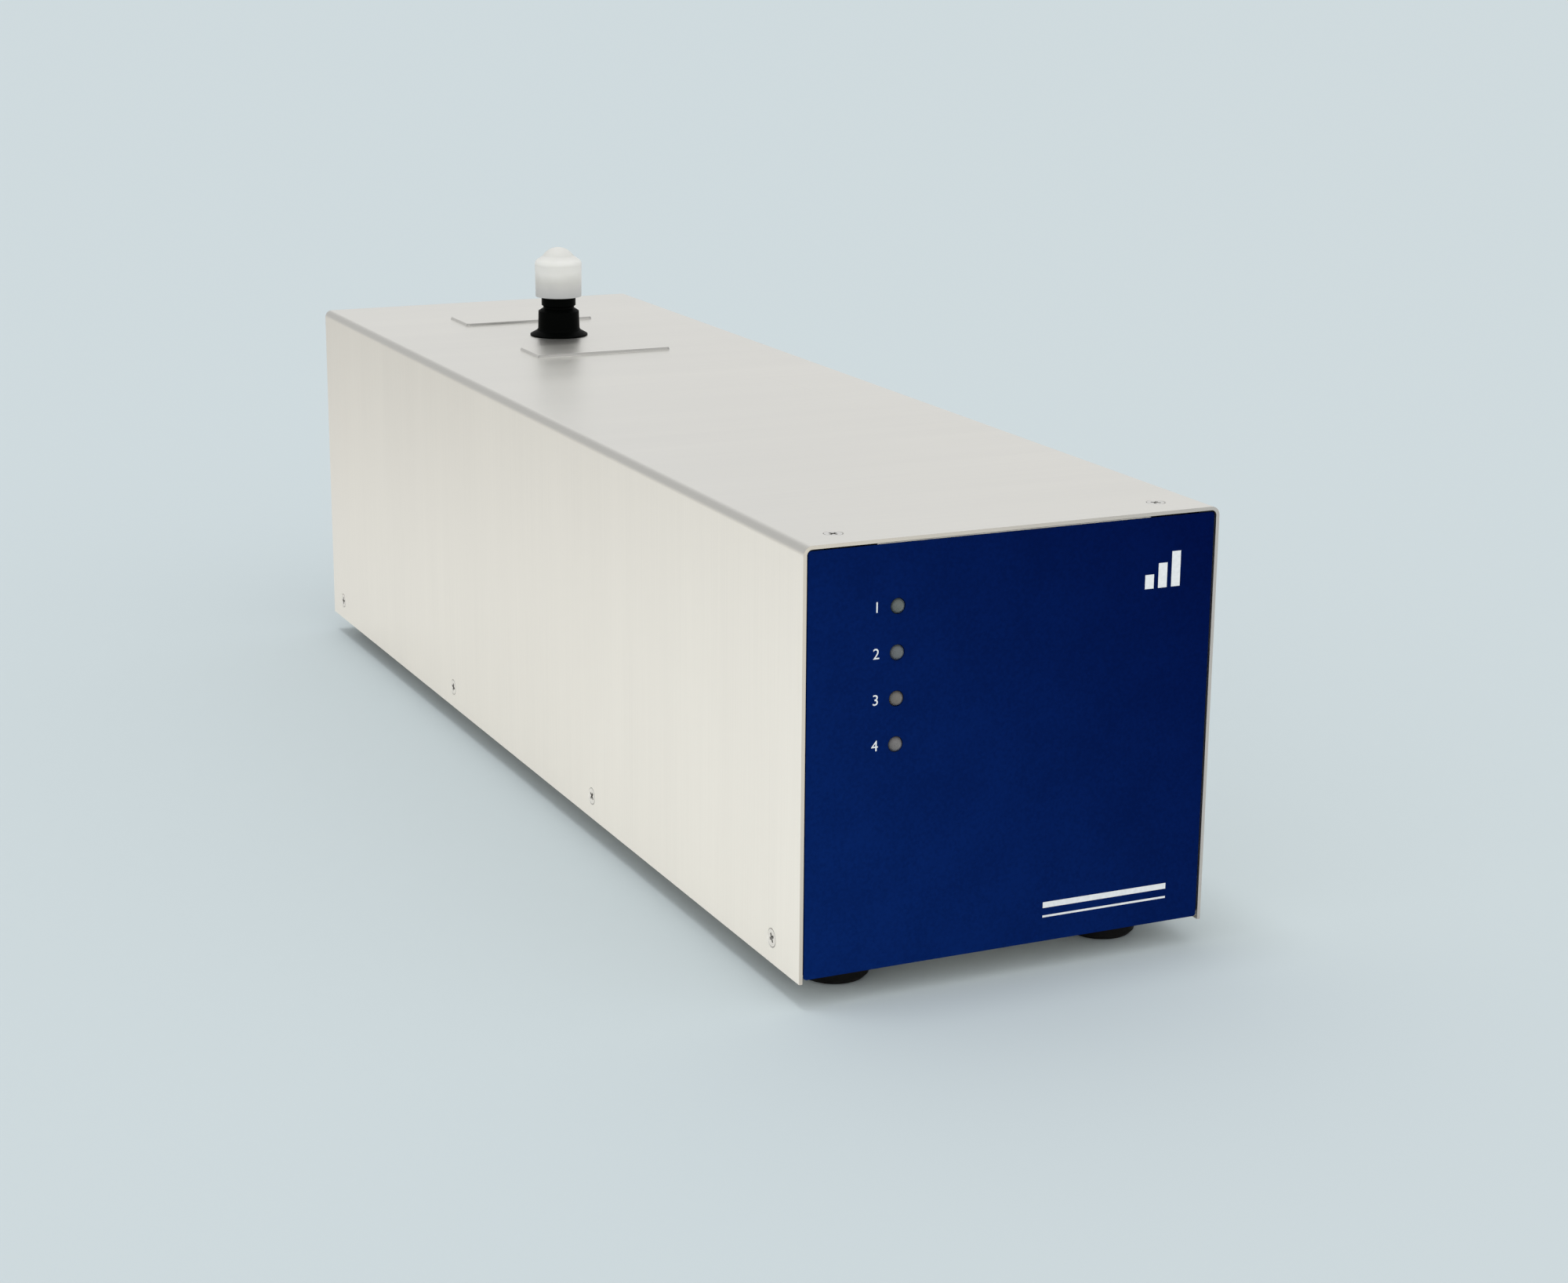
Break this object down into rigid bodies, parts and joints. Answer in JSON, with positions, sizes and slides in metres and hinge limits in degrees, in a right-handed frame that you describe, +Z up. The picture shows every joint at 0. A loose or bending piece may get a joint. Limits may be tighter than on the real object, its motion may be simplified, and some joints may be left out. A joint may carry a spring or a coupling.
{
  "type": "airborne particle counter",
  "caption": "Long sheet-metal air particle counter with a blue front panel, row of indicator lamps, capped sampling inlet on top, two low pressed pads and rubber feet.",
  "frame": {"origin": "middle of the overall outline, on the surface that the feet stand on", "axes": "+X to the right seen from the front, +Y from the front panel to the rear connectors, +Z up"},
  "size_m": [0.127, 0.46, 0.1607],
  "materials": {
    "stainless": "fine brushed",
    "pan_steel": "satin",
    "blue_paint": "fine textured powder coat",
    "lamp_lens": "diffused lens, unlit",
    "foot_rubber": "matte",
    "inlet_black": "black machined",
    "cap_frosted": "frosted translucent",
    "screw_steel": "bright stainless",
    "zinc": "zinc plated",
    "anodised": "clear anodised",
    "black_anodised": "black anodised",
    "brass": "turned",
    "mirror": "polished",
    "board_green": "solder mask",
    "black_plastic": "moulded",
    "white_plastic": "moulded",
    "hose_silicone": "translucent silicone",
    "lead_grey": "insulated lead",
    "socket_shield": "nickel-plated shield"
  },
  "bodies": {
    "case": {"beam_dump": "black_anodised", "blower_bracket": "zinc", "blower_cover": "black_plastic", "blower_housing": "black_plastic", "board_standoffs": "brass", "capacitors": "black_plastic", "chassis": "pan_steel", "chips": "black_plastic", "clinch_nuts": "zinc", "cover_side_screws": "screw_steel", "cover_top_screws": "screw_steel", "delivery_hose": "hose_silicone", "detector_board": "board_green", "ethernet_jack": "socket_shield", "exhaust_filter": "white_plastic", "exhaust_fitting": "brass", "exhaust_hose": "hose_silicone", "exhaust_locknut": "brass", "foot_nuts": "zinc", "foot_screws": "screw_steel", "front_panel": "blue_paint", "heat_sink": "black_anodised", "indicator_lamp_1": "lamp_lens", "indicator_lamp_2": "lamp_lens", "indicator_lamp_3": "lamp_lens", "indicator_lamp_4": "lamp_lens", "inlet_fitting": "inlet_black", "inlet_locknut": "inlet_black", "inlet_tube": "hose_silicone", "internal_leads": "lead_grey", "lamp_board": "board_green", "lamp_ribbon": "lead_grey", "laser_heat_sink": "black_anodised", "laser_module": "brass", "main_board": "board_green", "mirror_mount": "mirror", "motor_bushes": "brass", "motor_can": "zinc", "motor_stator": "zinc", "pan_screws": "screw_steel", "photodetector": "socket_shield", "pin_headers": "black_plastic", "power_jack": "black_plastic", "rear_board": "board_green", "rubber_foot_1": "foot_rubber", "rubber_foot_2": "foot_rubber", "rubber_foot_3": "foot_rubber", "rubber_foot_4": "foot_rubber", "sensor_block": "anodised", "sensor_bracket": "zinc", "sensor_nozzles": "brass", "suction_hose": "hose_silicone", "terminal_header": "black_plastic", "top_cover": "stainless"},
    "cap": {"inlet_cap": "cap_frosted"},
    "rotor": {"impeller": "white_plastic", "impeller_shaft": "zinc", "motor_rotor": "zinc"}
  },
  "joints": [
    {"name": "cap_pull", "type": "slide", "parent": "case", "child": "cap", "axis": [0, 0, 1], "range_m": [0, 0.06]},
    {"name": "impeller_spin", "type": "hinge", "parent": "case", "child": "rotor", "pos_m": [0, 0.044, 0.05], "axis": [0, 1, 0], "continuous": true}
  ]
}
